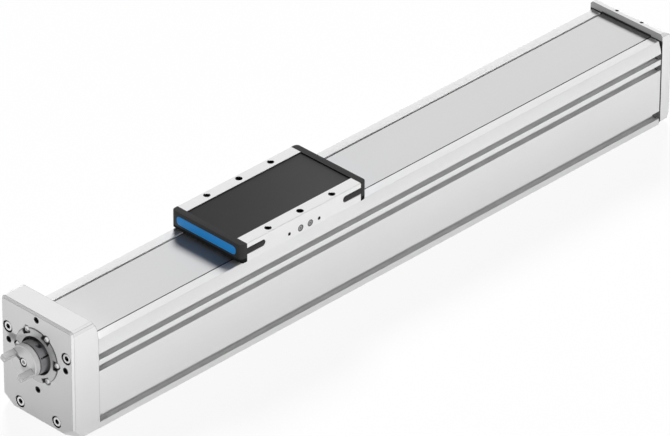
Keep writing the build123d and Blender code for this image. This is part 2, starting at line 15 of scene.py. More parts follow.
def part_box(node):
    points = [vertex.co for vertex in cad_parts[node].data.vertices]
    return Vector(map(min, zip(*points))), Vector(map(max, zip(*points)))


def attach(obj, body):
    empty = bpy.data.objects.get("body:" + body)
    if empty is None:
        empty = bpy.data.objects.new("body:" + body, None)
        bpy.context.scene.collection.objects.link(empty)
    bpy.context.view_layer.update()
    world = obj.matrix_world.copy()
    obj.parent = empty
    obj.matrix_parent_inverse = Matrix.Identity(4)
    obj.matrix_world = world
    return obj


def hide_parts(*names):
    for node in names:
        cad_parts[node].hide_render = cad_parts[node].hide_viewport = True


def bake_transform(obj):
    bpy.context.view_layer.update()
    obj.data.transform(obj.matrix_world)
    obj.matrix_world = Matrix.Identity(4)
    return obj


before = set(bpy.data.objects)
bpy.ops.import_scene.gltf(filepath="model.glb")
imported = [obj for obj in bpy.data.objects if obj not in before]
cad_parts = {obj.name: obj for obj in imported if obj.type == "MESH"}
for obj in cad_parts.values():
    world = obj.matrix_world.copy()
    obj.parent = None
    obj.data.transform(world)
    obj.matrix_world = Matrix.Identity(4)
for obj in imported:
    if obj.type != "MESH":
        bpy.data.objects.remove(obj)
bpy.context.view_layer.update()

bl_info = {
    "name": "Ball screw linear axis",
    "version": (1, 0, 0),
    "blender": (4, 5, 0),
    "location": "View3D > Sidebar > Axis",
    "description": "Builds the visible surfaces, finishes and stage of a ball screw linear axis",
    "category": "Add Mesh",
}


# Places read from the CAD nodes
def span(node):
    """Lowest and highest corners of a CAD node in millimetres."""
    low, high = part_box(node)
    return np.array(low) * 1000, np.array(high) * 1000


PROFILE = span("profile")
FRONT_CAP = span("front_cap")
REAR_CAP = span("rear_cap")
HUB = span("coupling_hub")
SCREW = span("ball_screw")
CARRIAGE = span("carriage_body")
COVER = span("carriage_cover")
END_CAP = span("end_cap_front")
BAR = span("accent_bar_front")
BAND = span("cover_band")
FLANGE = span("bearing_flange")
CENTRE_SCREW = span("centre_screw")
SPINDLE_Z = float(HUB[0][2] + HUB[1][2]) / 2
CARRIAGE_X = float(CARRIAGE[0][0] + CARRIAGE[1][0]) / 2
TOP = float(PROFILE[1][2])
HALF = float(PROFILE[1][0])
FRONT_FACE = float(FRONT_CAP[0][0])
REAR_FACE = float(REAR_CAP[1][0])

# Places that several shapes and finishes share
CAP_SCREWS = ((48.8, 109.1), (30.6, 14.1))  # (Y, Z) on one side
COUNTERBORE = 7.8  # radius
HUB_FACE = FRONT_FACE - 22.0
CLAW_ANGLE = 28.0  # degrees
THREAD_X, THREAD_Y = 53.0, 51.0  # from the carriage's middle
NIPPLE_MID, NIPPLE_APART, NIPPLE_Z = 1.7, 8.0, 126.3  # middle of a pair, half its spacing, height


# Settings
class AxisSizes(bpy.types.PropertyGroup):
    """Sizes of the parts that this file draws anew."""
    slot_mouth: FloatProperty(name="Slot mouth", description="Width of the narrow side slots",
                              default=0.008, min=0.005, max=0.012, unit="LENGTH")
    groove_mouth: FloatProperty(name="Groove mouth", description="Width of the low side grooves",
                                default=0.0106, min=0.008, max=0.014, unit="LENGTH")
    band_width: FloatProperty(name="Band width", description="Width of the steel cover band",
                              default=0.082, min=0.06, max=0.084, unit="LENGTH")
    screw_lead: FloatProperty(name="Lead", description="Travel of the carriage for one turn of the screw",
                              default=0.025, min=0.005, max=0.05, unit="LENGTH")
    track_depth: FloatProperty(name="Ball track depth", description="Depth of the screw's ball track",
                               default=0.0013, min=0.0005, max=0.003, unit="LENGTH")


class AxisColours(bpy.types.PropertyGroup):
    """Colours of the finishes."""
    aluminium: FloatVectorProperty(name="Aluminium", description="Matt anodised aluminium", subtype="COLOR",
                                   default=(0.77, 0.77, 0.77), min=0, max=1)
    band: FloatVectorProperty(name="Band", description="Rolled steel band", subtype="COLOR",
                              default=(0.63, 0.63, 0.63), min=0, max=1)
    steel: FloatVectorProperty(name="Steel", description="Turned hub, nuts and bearings", subtype="COLOR",
                               default=(0.62, 0.62, 0.62), min=0, max=1)
    flange: FloatVectorProperty(name="Flange", description="Bearing flange round the hub", subtype="COLOR",
                                default=(0.52, 0.52, 0.52), min=0, max=1)
    collar: FloatVectorProperty(name="Collar", description="Clamp collar behind the hub", subtype="COLOR",
                                default=(0.26, 0.26, 0.27), min=0, max=1)
    screws: FloatVectorProperty(name="Screws", description="Plated screws and nipples", subtype="COLOR",
                                default=(0.74, 0.74, 0.75), min=0, max=1)
    black: FloatVectorProperty(name="Black", description="Moulded black covers", subtype="COLOR",
                               default=(0.040, 0.040, 0.041), min=0, max=1)
    blue: FloatVectorProperty(name="Blue", description="Blue bar across the end caps", subtype="COLOR",
                              default=(0.010, 0.190, 0.500), min=0, max=1)
    rubber: FloatVectorProperty(name="Rubber", description="Wipers and buffers", subtype="COLOR",
                                default=(0.015, 0.015, 0.016), min=0, max=1)


def sizes():
    """Size settings."""
    return bpy.context.scene.axis_sizes


def colours():
    """Colour settings."""
    return bpy.context.scene.axis_colours


def mm(value):
    """A length setting in millimetres."""
    return value * 1000.0


# Surfaces
def surface_mesh(name, rings, loop=False):
    """Mesh of a closed surface through an array of rings (m, n, 3).

    Point (i, j) is the j-th point of the i-th ring. Quads join each ring to the next one; the first and last
    rings are filled, or joined to each other when loop is set.
    """
    rings = np.asarray(rings, float)
    m, n, _ = rings.shape
    i = np.arange(m if loop else m - 1)[:, None]
    j = np.arange(n)[None, :]
    a, b = i * n + j, i * n + (j + 1) % n
    c, d = ((i + 1) % m) * n + (j + 1) % n, ((i + 1) % m) * n + j
    faces = np.stack([a, b, c, d], -1).reshape(-1, 4).tolist()
    if not loop:
        faces += [list(range(n))[::-1], list(range((m - 1) * n, m * n))]
    mesh = bpy.data.meshes.new(name)
    mesh.from_pydata((rings.reshape(-1, 3) / 1000.0).tolist(), [], faces)
    return mesh


def in_scene(name, data):
    """New object, linked to the scene."""
    piece = bpy.data.objects.new(name, data)
    bpy.context.scene.collection.objects.link(piece)
    return piece


def seated(name, mesh, work, body):
    """Write the worked faces into the mesh and seat it as a piece, attached to its body if it has one."""
    work.to_mesh(mesh)
    work.free()
    piece = in_scene(name, mesh)
    if body:
        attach(piece, body)
    return piece


def skin(name, rings, body, loop=False, smooth=32.0):
    """Piece made of the surface through the rings.

    Doubles are merged, faces turned outward, and edges that bend by less than smooth degrees shaded soft.
    """
    mesh = surface_mesh(name, rings, loop)
    work = bmesh.new()
    work.from_mesh(mesh)
    bmesh.ops.remove_doubles(work, verts=work.verts, dist=1e-7)
    bmesh.ops.dissolve_degenerate(work, dist=1e-7, edges=work.edges)
    bmesh.ops.recalc_face_normals(work, faces=work.faces)
    for edge in work.edges:
        edge.smooth = len(edge.link_faces) == 2 and edge.calc_face_angle(0) < math.radians(smooth)
    for face in work.faces:
        face.smooth = True
    return seated(name, mesh, work, body)


def merged(name, pieces, body):
    """One piece from several surfaces that belong to the same real part."""
    work = bmesh.new()
    for piece in pieces:
        work.from_mesh(piece.data)
        bpy.data.objects.remove(piece)
    return seated(name, bpy.data.meshes.new(name), work, body)


def rounded(points, steps=4):
    """Closed outline from corners (u, v, radius).

    Each corner is replaced by a quadratic curve P(t) = (1-t)^2 A + 2t(1-t) C + t^2 B, where A and B lie one
    radius before and after the corner C, and never beyond 0.49 of the way to the next corner.
    """
    points = np.array(points, float)
    corner, radius = points[:, :2], points[:, 2]

    def on_the_way_to(neighbour):
        run = neighbour - corner
        length = np.linalg.norm(run, axis=1)
        return corner + run * (np.minimum(radius, 0.49 * length) / length)[:, None]

    a, b = on_the_way_to(np.roll(corner, 1, 0)), on_the_way_to(np.roll(corner, -1, 0))
    t = np.linspace(0, 1, steps + 1)[None, :, None]
    curve = (1 - t) ** 2 * a[:, None] + 2 * t * (1 - t) * corner[:, None] + t ** 2 * b[:, None]
    outline = curve.reshape(-1, 2)
    keep = np.linalg.norm(outline - np.roll(outline, 1, 0), axis=1) > 1e-6
    return outline[keep]


def inset(outline, by):
    """Outline moved inward, for a bevel, along the sum of the normals of the two edges at each point."""
    def normal(edge):
        unit = edge / np.maximum(np.linalg.norm(edge, axis=1), 1e-9)[:, None]
        return np.stack([-unit[:, 1], unit[:, 0]], -1)

    inward = normal(np.roll(outline, -1, 0) - outline) + normal(outline - np.roll(outline, 1, 0))
    inward /= np.maximum((inward ** 2).sum(1), 0.5)[:, None] / 2
    u, v = outline[:, 0], outline[:, 1]
    area = (u * np.roll(v, -1) - np.roll(u, -1) * v).sum()
    return outline + inward * by * (1 if area > 0 else -1)


def along_x(outline, stations):
    """Rings of an end view outline (Y, Z) at stations (x, inset)."""
    rings = []
    for x, by in stations:
        ring = inset(outline, by) if by else outline
        rings.append(np.column_stack([np.full(len(ring), x), ring]))
    return np.array(rings)


def across_y(outline, stations):
    """Rings of a side view outline (X, Z) at stations (y, inset)."""
    return along_x(outline, stations)[..., [1, 0, 2]]


def turned(stations, centre=(0.0, 0.0), count=64, turn=0.0):
    """Rings round an axis along X. A station is (x, radius), (x, radius, sides) or (x, radius, 0, ripple).

    The radius at angle a is R (1 + ripple cos(36 a)) for a round ring; for a ring with n sides it is
    R / cos(((a + pi/n) mod 2pi/n) - pi/n), where R is half the width across flats.
    """
    a = np.linspace(0, 2 * math.pi, count, endpoint=False)
    rings = []
    for station in stations:
        x, radius, sides, ripple = (list(station) + [0, 0.0])[:4]
        r = radius * (1 + ripple * np.cos(36 * a))
        if sides:
            step = 2 * math.pi / sides
            r = radius / np.cos((a + step / 2) % step - step / 2)
        y = centre[0] + r * np.cos(a + turn)
        z = centre[1] + r * np.sin(a + turn)
        rings.append(np.column_stack([np.full(count, x), y, z]))
    return np.array(rings)


def flipped(rings):
    """Rings mirrored from one end of the carriage to the other."""
    out = np.array(rings)
    out[..., 0] = 2 * CARRIAGE_X - out[..., 0]
    return out


def other_side(rings):
    """Rings mirrored from one side of the axis to the other."""
    out = np.array(rings)
    out[..., 1] *= -1
    return out


# Shader building
class Value:
    """A shader socket that takes part in arithmetic: every operator adds one Math node."""

    def __init__(self, finish, socket):
        self.finish, self.socket = finish, socket

    def math(self, operation, a, b=0.0):
        """One Math node on sockets or numbers."""
        return self.finish.node("ShaderNodeMath", {"operation": operation}, {0: a, 1: b})

    def __add__(self, other):
        return self.math("ADD", self, other)

    def __sub__(self, other):
        return self.math("SUBTRACT", self, other)

    def __rsub__(self, other):
        return self.math("SUBTRACT", other, self)

    def __mul__(self, other):
        return self.math("MULTIPLY", self, other)

    __radd__, __rmul__ = __add__, __mul__

    def size(self):
        """Distance from zero."""
        return self.math("ABSOLUTE", self)

    def least(self, other):
        return self.math("MINIMUM", self, other)

    def sine(self):
        return self.math("SINE", self)

    def root(self):
        return self.math("SQRT", self)

    def over(self, edge):
        """1 above the edge, else 0."""
        return self.math("GREATER_THAN", self, edge)


class Nodes:
    """Builds nodes in one tree."""

    def __init__(self, tree):
        self.tree = tree

    def node(self, kind, settings=None, inputs=None, output=0):
        """Add a node: settings first, then values or links for its sockets; returns one output."""
        node = self.tree.nodes.new(kind)
        for key, value in (settings or {}).items():
            setattr(node, key, value)
        for key, value in (inputs or {}).items():
            self.feed(node.inputs[key], value)
        return None if output is None else Value(self, node.outputs[output])

    def feed(self, socket, value):
        """Link a value to a socket, or set the socket to a constant."""
        if isinstance(value, Value):
            self.tree.links.new(value.socket, socket)
        else:
            socket.default_value = value

    def seen(self):
        """1 for camera, mirror and glass rays, 0 for rays that only carry light."""
        path = "ShaderNodeLightPath"
        rays = self.node(path, output="Is Camera Ray") + self.node(path, output="Is Glossy Ray")
        return (rays + self.node(path, output="Is Transmission Ray")).least(1.0)


class Finish(Nodes):
    """A named material under construction."""

    def __init__(self, name):
        self.material = bpy.data.materials.new(name)
        self.material.use_nodes = True
        super().__init__(self.material.node_tree)
        self.shader = self.tree.nodes["Principled BSDF"]
        self.output = self.tree.nodes["Material Output"]

    def set(self, **values):
        """Feed the shader; underscores in a name stand for spaces."""
        for key, value in values.items():
            self.feed(self.shader.inputs[key.replace("_", " ")], value)

    def place(self, scale=(1, 1, 1)):
        """Object coordinates stretched by a scale."""
        where = self.node("ShaderNodeTexCoord", output="Object")
        return self.node("ShaderNodeMapping", {}, {"Vector": where, "Scale": scale})

    def noise(self, size, scale=(1, 1, 1), detail=3.0):
        """Noise whose features measure about size metres."""
        inputs = {"Vector": self.place(scale), "Scale": 1.0 / size, "Detail": detail}
        return self.node("ShaderNodeTexNoise", {}, inputs, "Fac")

    def axis(self, letter):
        """Object coordinate along X, Y or Z in metres."""
        where = self.node("ShaderNodeTexCoord", output="Object")
        return self.node("ShaderNodeSeparateXYZ", {}, {0: where}, letter)

    def along(self, letter):
        """Object coordinate along X, Y or Z in millimetres."""
        return self.axis(letter) * 1000.0

    def tint(self, mask, zero, one):
        """Colour between two colours by a mask from 0 to 1."""
        return self.node("ShaderNodeMix", {"data_type": "RGBA"}, {0: mask, 6: zero, 7: one}, 2)

    def bump(self, height, strength, depth, edge=None):
        """Fine relief of a depth in metres; edge is the radius by which sharp edges are shaded round."""
        inputs = {"Height": height, "Strength": strength, "Distance": depth}
        if edge:
            inputs["Normal"] = self.node("ShaderNodeBevel", {"samples": 4}, {"Radius": edge})
        self.set(Normal=self.node("ShaderNodeBump", {}, inputs))
        return self.material

    def edges(self, width, gain=16.0):
        """1 along sharp edges: gain times how far the rounded normal leans away from the plain one."""
        plain = self.node("ShaderNodeNewGeometry", {}, {}, "True Normal")
        soft = self.node("ShaderNodeBevel", {"samples": 6}, {"Radius": width})
        same = self.node("ShaderNodeVectorMath", {"operation": "DOT_PRODUCT"}, {0: plain, 1: soft}, "Value")
        return ((1.0 - same) * gain).least(1.0)

    def bores(self, first, second, holes, mirrored=True):
        """1 inside any of the round holes (u, v, radius) in millimetres seen along the third axis, else 0.

        first and second are (axis letter, centre); mirrored holes count on both sides of both centres.
        """
        u, v = (self.along(letter) - centre for letter, centre in (first, second))
        if mirrored:
            u, v = u.size(), v.size()
        inside = 0.0
        for hole_u, hole_v, radius in holes:
            du, dv = u - hole_u, v - hole_v
            inside = (1.0 - (du * du + dv * dv).over(radius * radius)) + inside
        return inside.least(1.0)

    def cap_bores(self, radius):
        """1 inside circles of one radius round the cap screws."""
        return self.bores(("Y", 0.0), ("Z", 0.0), [(y, z, radius) for y, z in CAP_SCREWS])


def rgba(colour, by=1.0):
    """A colour made lighter or darker, with the fourth value that sockets need."""
    return tuple(min(1.0, c * by) for c in colour[:3]) + (1.0,)


def grey(level):
    """A neutral colour with the fourth value."""
    return level, level, level, 1.0


def anodised(name):
    """Extruded aluminium: faint draw lines along X, a fine etched grain and slow tone changes."""
    base = tuple(colours().aluminium)
    f = Finish(name)
    lines = f.noise(0.0012, (0.004, 1, 1), 2.0)
    grain = f.noise(0.0005, detail=2.0)
    cloud = f.noise(0.09, detail=2.0)
    tone = lines * 0.35 + cloud * 0.65
    f.set(Base_Color=f.tint(tone, rgba(base, 0.965), rgba(base, 1.035)), Metallic=0.12,
          Roughness=0.42 + 0.10 * grain, Specular_IOR_Level=0.4)
    return f.bump(lines * 0.4 + grain, 0.06, 0.0001)


def milled(name, holes=None, painted_shade=None, lines=0.0, lines_from=-1.0):
    """Machined aluminium: a fine grain without draw lines; bores and threads are painted dark as shade.

    holes and painted_shade take the finish and return masks of painted shade, near black and dark grey. lines
    paints a dark line of shade of that width in metres along the edges above the height lines_from.
    """
    base = tuple(colours().aluminium)
    f = Finish(name)
    grain = f.noise(0.0004, detail=2.0)
    cloud = f.noise(0.05, detail=2.0)
    colour = f.tint(cloud, rgba(base, 0.97), rgba(base, 1.03))
    # Painted shade: dark grey where the painted_shade mask is 1
    if painted_shade:
        colour = f.tint(painted_shade(f), colour, grey(0.10))
    # Painted shade: dark lines along the sharp edges
    if lines:
        above = f.along("Z").over(lines_from)
        colour = f.tint(f.edges(lines) * above * 0.75, colour, grey(0.02))
    # Painted shade: near black inside bores and holes
    if holes:
        colour = f.tint(holes(f), colour, grey(0.008))
    f.set(Base_Color=colour, Metallic=0.12, Roughness=0.40 + 0.12 * grain, Specular_IOR_Level=0.4)
    return f.bump(grain, 0.05, 0.0001, 0.0005)


def front_cap_hole_shade(f):
    """Painted shade in the motor holes and the pin hole, and below the front face in the flange's seat and
    counterbores.
    """
    motor_circle, motor_radius, pin_place, pin_radius, seat_radius = 47.5, 4.2, 36.3, 2.4, 34.8
    deep = f.along("X").over(FRONT_FACE + 0.35)
    front = 1.0 - f.along("X").over(FRONT_FACE + 20.0)
    spindle = ("Y", 0.0), ("Z", SPINDLE_Z)
    motor = f.bores(*spindle, [(0, motor_circle, motor_radius), (motor_circle, 0, motor_radius),
                               (pin_place, 0, pin_radius)])
    seat = f.bores(*spindle, [(0, 0, seat_radius)])
    return ((motor + (seat + f.cap_bores(COUNTERBORE)) * deep) * front).least(1.0)


def carriage_hole_shade(f):
    """Painted shade in centring holes and round countersunk threads, far side left bare; and plugged side
    holes.
    """
    centring_radius, thread_radius, sink_radius = 4.7, 3.6, 4.4
    middle = ("X", CARRIAGE_X), ("Y", 0.0)
    deep = 1.0 - f.along("Z").over(float(CARRIAGE[1][2]) - 0.3)
    top = f.along("Z").over(130.0)
    # Painted shade inside the holes, and round each thread as the shade of a countersink
    centring = f.bores(*middle, [(0.0, THREAD_Y, centring_radius),
                                 (THREAD_X, THREAD_Y, thread_radius)]) * deep
    sunk = f.bores(*middle, [(THREAD_X, THREAD_Y, sink_radius)]) * top
    # The disc set towards +X and +Y is left bare, as the lit far side of each countersink
    aside, glint_radius = 2.7, 2.3
    lit = [(x + aside, y + aside, glint_radius) for x in (-THREAD_X, THREAD_X) for y in (-THREAD_Y, THREAD_Y)]
    bright = f.bores(*middle, lit, mirrored=False)
    plug_apart, plug_radius = 24.75, 2.3
    plug = [(plug_apart, NIPPLE_Z, plug_radius)]
    plugs = f.bores(("X", CARRIAGE_X - 0.25), ("Z", 0.0), plug) * side_wall(f)
    return (centring + sunk * (1.0 - bright) + plugs).least(1.0)


def side_wall(f):
    """1 in the outer walls of the carriage."""
    return f.along("Y").size().over(40.0)


def nipple_ring_shade(f):
    """Painted shade: a dark ring round each grease nipple, as the shadow of the gap round it."""
    ring = [(NIPPLE_APART, NIPPLE_Z, 4.5)]
    return f.bores(("X", CARRIAGE_X + NIPPLE_MID), ("Z", 0.0), ring) * side_wall(f)


def rear_cap_shade_and_joint(f):
    """Painted shade in counterbores and set screw holes on top; the dark joint between the cap, profile and
    band.
    """
    x, z = f.along("X"), f.along("Z")
    face, top = float(REAR_CAP[0][0]), float(REAR_CAP[1][2])
    # Painted shade inside the counterbores and round the set screw holes
    screws = f.cap_bores(COUNTERBORE) * (1.0 - x.over(REAR_FACE - 0.35))
    set_back, set_out, set_radius = 5.6, 20.6, 2.6
    sets = f.bores(("X", face + set_back), ("Y", 0.0), [(0.0, set_out, set_radius)]) * z.over(top - 10.0)
    joint = (1.0 - x.over(face + 0.8)) * (1.0 - z.over(TOP + 0.7))
    return (screws + sets + joint).least(1.0)


def rear_face_shade(f):
    """Painted shade on the cap's front face that stands above the band."""
    return (1.0 - f.along("X").over(float(REAR_CAP[0][0]) + 0.1)) * 0.66


def band_steel():
    """Rolled strip: long fine lines along X, tone drifting along the length, painted gap shade on both edges.
    """
    gap_shade_width = 1.2
    base = tuple(colours().band)
    f = Finish("rolled_band")
    lines = f.noise(0.0006, (0.002, 1, 1))
    drift = f.noise(0.22, (1, 0.2, 1), 1.0)
    colour = f.tint(lines * 0.5 + drift * 0.5, rgba(base, 0.97), rgba(base, 1.04))
    # Painted shade: the band's edges near black, as the shade in the gaps beside it
    gap_shade = f.along("Y").size().over(mm(sizes().band_width) / 2 - gap_shade_width)
    f.set(Base_Color=f.tint(gap_shade, colour, grey(0.01)), Metallic=0.04,
          Roughness=0.36 + 0.08 * lines, Specular_IOR_Level=0.2)
    return f.bump(lines, 0.05, 0.00005)


def turned_steel(name, base, dark=None, lines=0.0):
    """Turned part: fine rings round the spindle's axis, as height = sin(2 pi r / pitch).

    dark takes the finish and returns a mask of painted shade in pockets; lines paints edge shade that wide.
    """
    pitch = 0.0004
    f = Finish(name)
    y, z = f.axis("Y"), f.axis("Z") - SPINDLE_Z / 1000.0
    radius = (y * y + z * z).root()
    rings = (radius * (2 * math.pi / pitch)).sine()
    patch = f.noise(0.006)
    colour = f.tint(patch, rgba(base, 0.92), rgba(base, 1.06))
    # Painted shade along the edges
    if lines:
        colour = f.tint(f.edges(lines) * 0.8, colour, grey(0.02))
    # Painted shade in the pockets
    if dark:
        colour = f.tint(dark(f), colour, grey(0.03))
    f.set(Base_Color=colour, Metallic=0.6, Roughness=0.3 + 0.12 * patch)
    return f.bump(rings * 0.5 + patch, 0.06, 0.00005)


def hub_recess_shade(f):
    """Painted shade: dark crescent round the lower side of the screw's recess, and the foot of the groove."""
    inner, outer = 4.2, 6.6
    y, z = f.along("Y"), f.along("Z") - SPINDLE_Z
    radius = (y * y + z * z).root()
    deep = f.along("X").over(HUB_FACE + 0.3) * (1.0 - radius.over(outer))
    low = (y * 0.4 - z * 0.9).over(-1.0)
    return deep * low * radius.over(inner)


def flange_pocket_shade(f):
    """Painted shade on everything of the flange behind its face: the six notches and the bore."""
    return f.along("X").over(float(FLANGE[0][0]) + 0.8) * 0.85


def ground_steel(name, base, rough=0.28, dark=None):
    """Ground or plated steel: fine random grain; dark takes the finish and returns a mask of sockets painted
    as shade.
    """
    f = Finish(name)
    grain = f.noise(0.0007, (0.2, 1, 1))
    colour = f.tint(grain, rgba(base, 0.93), rgba(base, 1.05))
    # Painted shade in the sockets
    if dark:
        colour = f.tint(dark(f), colour, grey(0.02))
    f.set(Base_Color=colour, Metallic=0.85, Roughness=rough + 0.1 * grain)
    return f.bump(grain, 0.05, 0.00005)


def cap_socket_shade(f):
    """Painted shade in the cap screws' sockets, behind the caps' faces; the front cap stands further out than
    the rear.
    """
    behind, key = 0.9, 3.5
    x = f.along("X").size()
    front = 1.0 - x.over(-FRONT_FACE - behind)
    rear = 1.0 - x.over(REAR_FACE - behind)
    at_front = x.over(-FRONT_FACE - 20.0)
    return f.cap_bores(key) * (at_front * front + (1.0 - at_front) * rear)


def moulded(name, base, rough=0.5, lip=0.0):
    """Moulded plastic: fine spark-eroded grain and faint sheen changes; below lip, painted shade, dull and
    near black.
    """
    grain = 0.0006
    f = Finish(name)
    inputs = {"Vector": f.place(), "Scale": 1.0 / grain}
    cells = f.node("ShaderNodeTexVoronoi", {"feature": "SMOOTH_F1"}, inputs, "Distance")
    cloud = f.noise(0.03, detail=2.0)
    above = f.along("Z").over(lip)
    colour = f.tint(cloud, rgba(base, 0.94), rgba(base, 1.07))
    # Painted shade: near black and dull below the height lip
    f.set(Base_Color=f.tint(above, rgba(base, 0.06), colour),
          Roughness=rough + 0.12 * cells + 0.3 * (1 - above),
          Specular_IOR_Level=0.22 if lip else 0.35)
    return f.bump(cells, 0.10, 0.00008)


def rubber(name):
    """Dull black rubber with a slight bloom."""
    base = tuple(colours().rubber)
    f = Finish(name)
    bloom = f.noise(0.012, detail=4.0)
    f.set(Base_Color=f.tint(bloom, rgba(base, 0.85), rgba(base, 1.5)), Roughness=0.72 + 0.15 * bloom,
          Specular_IOR_Level=0.25)
    return f.bump(bloom, 0.08, 0.0001)


def coat(piece, material):
    """Give a piece one finish."""
    piece.data.materials.clear()
    piece.data.materials.append(material)
    return piece


def shared(name, make, *settings):
    """A finish that several pieces wear, made the first time that one asks for it."""
    return bpy.data.materials.get(name) or make(name, *settings)


def plated_steel():
    """Plated steel of the small screws."""
    return shared("zinc_screw_surface", ground_steel, tuple(colours().screws), 0.3)


def hidden_steel():
    """Ground steel of the ball screw, the rail and its blocks."""
    return shared("ground_steel_surface", ground_steel, (0.46, 0.46, 0.47))


# Profile
def slot_outline(mouth, undercut):
    """Slot as points (across, depth, corner radius): straight lips, then a wider chamber with cut corners."""
    depth, lip, cut = 10.5, 4.0, 1.5
    m, u = mouth / 2, undercut / 2
    half = [(-m, 0, 0.5), (-m, lip, 0.4), (-u, lip, 0.3), (-u, depth - cut, 0.6), (cut - u, depth, 0.6)]
    return half + [(-across, d, r) for across, d, r in reversed(half)]


def profile_outline():
    """End view (Y, Z) of the extrusion, one closed loop because the cavity opens at the top."""
    s = sizes()
    w, t = float(PROFILE[1][1]), TOP

    def on_base(centre, mouth, undercut):
        return [(centre + across, d, r) for across, d, r in slot_outline(mouth, undercut)]

    def on_side(centre, mouth, undercut):
        return [(w - d, centre + across, r) for across, d, r in slot_outline(mouth, undercut)]

    mouth, undercut, groove_undercut = mm(s.slot_mouth), 13.0, 14.6
    base_slot, groove, lower_slot, upper_slot = 19.0, 14.0, 82.2, 97.6
    seat, magnet = t - 1.2, t - 2.7
    half = on_base(base_slot, mouth, undercut) + [(w, 0, 1.0)]
    half += on_side(groove, mm(s.groove_mouth), groove_undercut)
    half += on_side(lower_slot, mouth, undercut) + on_side(upper_slot, mouth, undercut)
    # Stepped shoulder, then the seat of the band with the magnet's groove in it
    half += [(w, t - 15.4, 4.0), (w - 1.35, t - 8.5, 6.0), (w - 4.5, t, 0.8)]
    half += [(42.2, t, 0.3), (42.2, seat, 0.0), (40.0, seat, 0.0), (40.0, magnet, 0.0), (35.5, magnet, 0.0),
             (35.5, seat, 0.0), (34.5, seat, 0.4)]
    # Cavity from its opening down to its floor
    half += [(34.5, 107.0, 1.5), (36.5, 103.0, 1.0), (43.0, 103.0, 2.0), (43.0, 74.5, 4.0), (53.5, 64.0, 4.0),
             (53.5, 30.0, 2.0), (49.5, 26.0, 2.0)]
    return rounded(half + [(-y, z, r) for y, z, r in reversed(half)], 4)


def build_profile():
    """Extruded profile: its end view carried from end to end."""
    rings = along_x(profile_outline(), [(-HALF, 0), (HALF, 0)])
    piece = skin("profile_extrusion", rings, "base")
    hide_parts("profile")
    coat(piece, shared("drawn_aluminium", anodised))


# Cover band
def strip(xs, zs, half_width, thickness):
    """Thin strip along X: at each x a flat oval section of the given thickness whose underside is at z."""
    inner = half_width - thickness / 2
    upper = [(-half_width, 0.5), (-inner, 1), (0, 1), (inner, 1)]
    section = np.array(upper + [(-y, 1 - share) for y, share in upper])
    xs, zs = np.asarray(xs, float), np.asarray(zs, float)
    y = np.broadcast_to(section[:, 0], (len(xs), len(section)))
    z = zs[:, None] + thickness * section[None, :, 1]
    return np.stack([np.broadcast_to(xs[:, None], y.shape), y, z], -1)


def build_band():
    """Cover band in three runs.

    The raised run rides on the carriage: its height is low + rise t^2 (3 - 2t), where t grows from 0 at the
    foot of a ramp to 1 at its top. The flat runs start under the carriage and tuck from its middle.
    """
    half = mm(sizes().band_width) / 2
    low, thick = float(BAND[0][2]), 0.4
    rise = float(BAND[1][2]) - thick - low
    reach, foot, ramp, tuck = 101, 94.0, 34.0, 62.0
    steel = band_steel()

    def run(name, xs, zs, body):
        return coat(skin(name, strip(xs, zs, half, thick), body), steel)

    x = np.linspace(-reach, reach, 2 * reach + 1)
    t = np.clip((foot - np.abs(x)) / ramp, 0, 1)
    arch = run("band_raised", CARRIAGE_X + x, low + rise * t * t * (3 - 2 * t), "carriage")
    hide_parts("cover_band")
    start, end = float(BAND[0][0]), float(BAND[1][0])
    front, rear = CARRIAGE_X - tuck, CARRIAGE_X + tuck
    flat = run("band_front", np.linspace(start, front, 160), np.full(160, low), None)
    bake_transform(flat)
    flat = run("band_rear", np.linspace(rear, end, 240), np.full(240, low), None)
    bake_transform(flat)


# Front cap's lower corners
def build_cap_feet():
    """Wedges that fill the cap's cut corners up to an oblique end.

    Each is the triangle between the cut, the side and the foot, carried along X; the end plane runs through
    the cut's front edge and a point on the side's foot.
    """
    wide, high, set_back, slant = 18.1, 12.1, 2.7, 11.6
    y, z = float(FRONT_CAP[1][1]), float(FRONT_CAP[0][2])
    corner, inner, upper = np.array([y, z]), np.array([y - wide, z]), np.array([y, z + high])
    front, oblique, back = FRONT_FACE + set_back, FRONT_FACE + slant, -HALF
    rings = np.array([[[front, *inner], [front, *(upper * 0.98 + inner * 0.02)], [front, *upper]],
                      [[front + 0.1, *inner], [oblique, *corner], [oblique, *upper]],
                      [[back, *inner], [back, *corner], [back, *upper]]])
    parts = [skin(f"foot_{i}", side, "base", smooth=10)
             for i, side in enumerate((rings, other_side(rings)))]
    coat(merged("front_cap_feet", parts, "base"), milled("cap_foot_plate"))


# Screws
def socket_head(name, seat, radius, height, key, shank, reach, centre, facing=-1, body="base", turn=0.0):
    """Cap screw along X: knurled head with a broken edge, six-sided socket with a drilled floor, plain shank.

    facing is the side on which the head stands. The stations run from the socket's floor out over the head
    and down the shank; radius, key and shank are half widths, and reach is the length below the head.
    """
    s, knurl = facing, 0.012
    tip = seat + s * height
    deep = tip - s * 0.62 * height
    socket = [(deep - s * 0.35 * key, 0.02), (deep, 0.85 * key), (deep, key, 6), (tip - s * 0.25, key, 6),
              (tip, 1.16 * key)]
    head = [(tip, 0.86 * radius), (tip - s * 0.10 * radius, 0.95 * radius),
            (tip - s * 0.24 * radius, radius, 0, knurl), (seat + s * 0.3, radius, 0, knurl),
            (seat, 0.95 * radius)]
    rod = [(seat, shank), (seat - s * (reach - 0.5), shank), (seat - s * reach, 0.8 * shank)]
    return skin(name, turned(socket + head + rod, centre, 72, turn), body, smooth=28)


